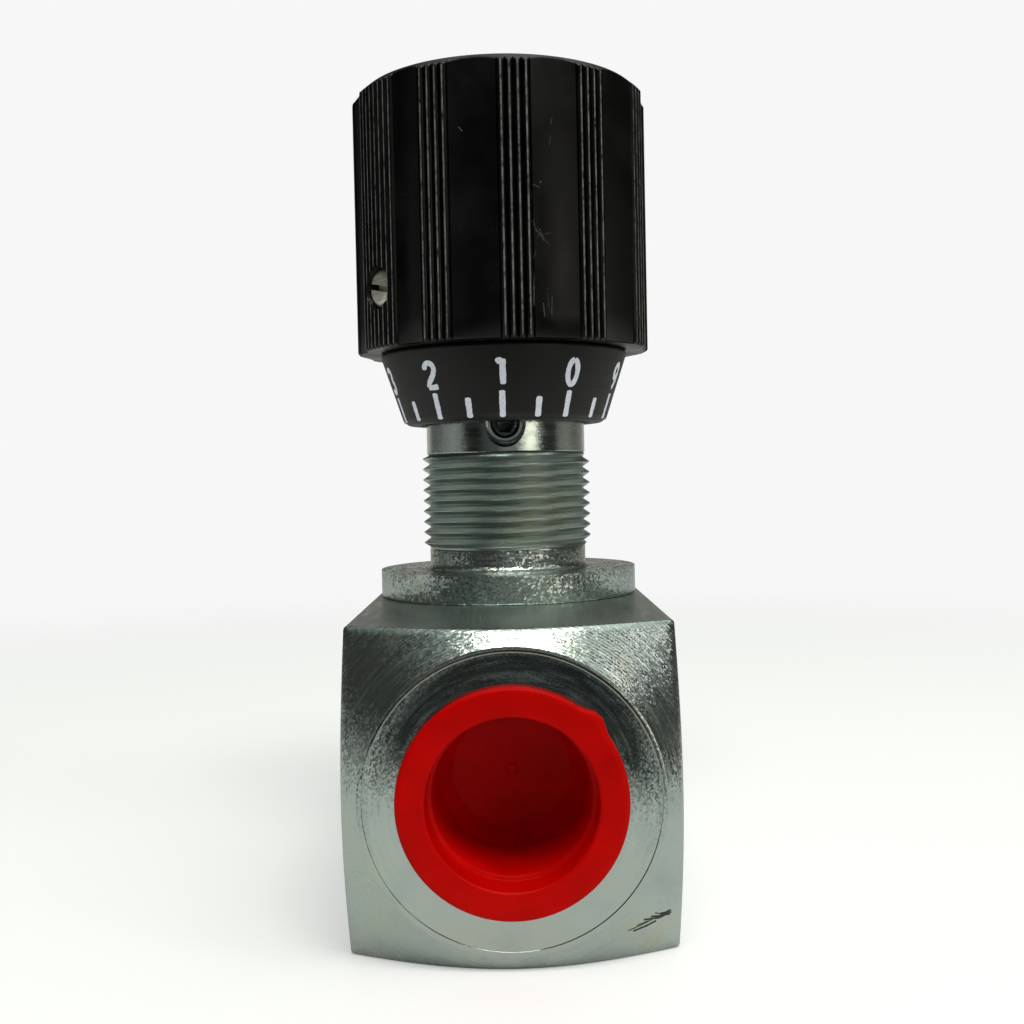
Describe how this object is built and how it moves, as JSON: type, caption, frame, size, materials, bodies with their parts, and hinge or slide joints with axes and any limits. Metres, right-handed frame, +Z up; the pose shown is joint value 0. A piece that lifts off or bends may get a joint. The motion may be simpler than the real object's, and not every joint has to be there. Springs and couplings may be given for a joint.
{
  "type": "flow control valve",
  "caption": "In-line hydraulic flow control valve: square steel body, threaded bonnet, turning black knob with numbered scale, check poppet and red port plugs.",
  "frame": {"origin": "centre of the square body's flat bottom face", "axes": "+Z up along the control spindle, the port axis runs along Y, the dial reading and the lock screw face -Y, +X to the right when facing the dial"},
  "size_m": [0.0416, 0.0882, 0.1086],
  "materials": {
    "zinc_body": "zinc-plated machined steel, satin, faint blue-green tint",
    "zinc_bonnet": "zinc-plated turned steel, satin with bright threads",
    "zinc_screw": "zinc-plated screw steel",
    "hard_steel": "ground hardened steel",
    "spring_steel": "drawn spring steel",
    "brass": "machined brass",
    "black_knob": "moulded black plastic, semi-gloss",
    "black_scale": "black anodised, matte, with white filled marks",
    "red_plastic": "moulded red polyethylene, satin",
    "white_ptfe": "cut PTFE",
    "rubber": "nitrile rubber"
  },
  "bodies": {
    "valve": {"valve_body": "zinc_body", "bonnet": "zinc_bonnet", "bonnet_o_ring": "rubber", "needle_guide_pin": "hard_steel", "lock_screw": "zinc_screw", "lock_pad": "brass", "spring_guide": "hard_steel", "retaining_ring": "spring_steel", "check_spring": "spring_steel"},
    "needle": {"throttle_needle": "hard_steel", "swivel_pins": "hard_steel"},
    "control": {"spindle": "hard_steel", "spindle_o_ring": "rubber", "spindle_backup_ring": "white_ptfe", "stop_ring": "spring_steel", "knob_hub": "brass", "knob_grip": "black_knob", "scale_ring": "black_scale", "knob_set_screw": "zinc_screw"},
    "check": {"check_poppet": "hard_steel"},
    "front_plug": {"port_plug_front": "red_plastic"},
    "rear_plug": {"port_plug_rear": "red_plastic"}
  },
  "joints": [
    {"name": "needle_lift", "type": "slide", "parent": "valve", "child": "needle", "axis": [0, 0, 1], "range_m": [-0.0011, 0.0034]},
    {"name": "knob_turn", "type": "hinge", "parent": "needle", "child": "control", "pos_m": [0, 0, 0.09], "axis": [0, 0, 1], "range_deg": [-397, 1225]},
    {"name": "check_slide", "type": "slide", "parent": "valve", "child": "check", "axis": [0, 1, 0], "range_m": [0, 0.0025], "stiffness_N_per_m": 400, "springref_m": -0.008, "deforming": ["check_spring"]},
    {"name": "front_plug_pull", "type": "slide", "parent": "valve", "child": "front_plug", "axis": [0, -1, 0], "range_m": [0, 0.03]},
    {"name": "rear_plug_pull", "type": "slide", "parent": "valve", "child": "rear_plug", "axis": [0, 1, 0], "range_m": [0, 0.03]}
  ],
  "couplings": [
    {"joint": "knob_turn", "follows": "needle_lift", "rad_per_m": 6283.2}
  ]
}
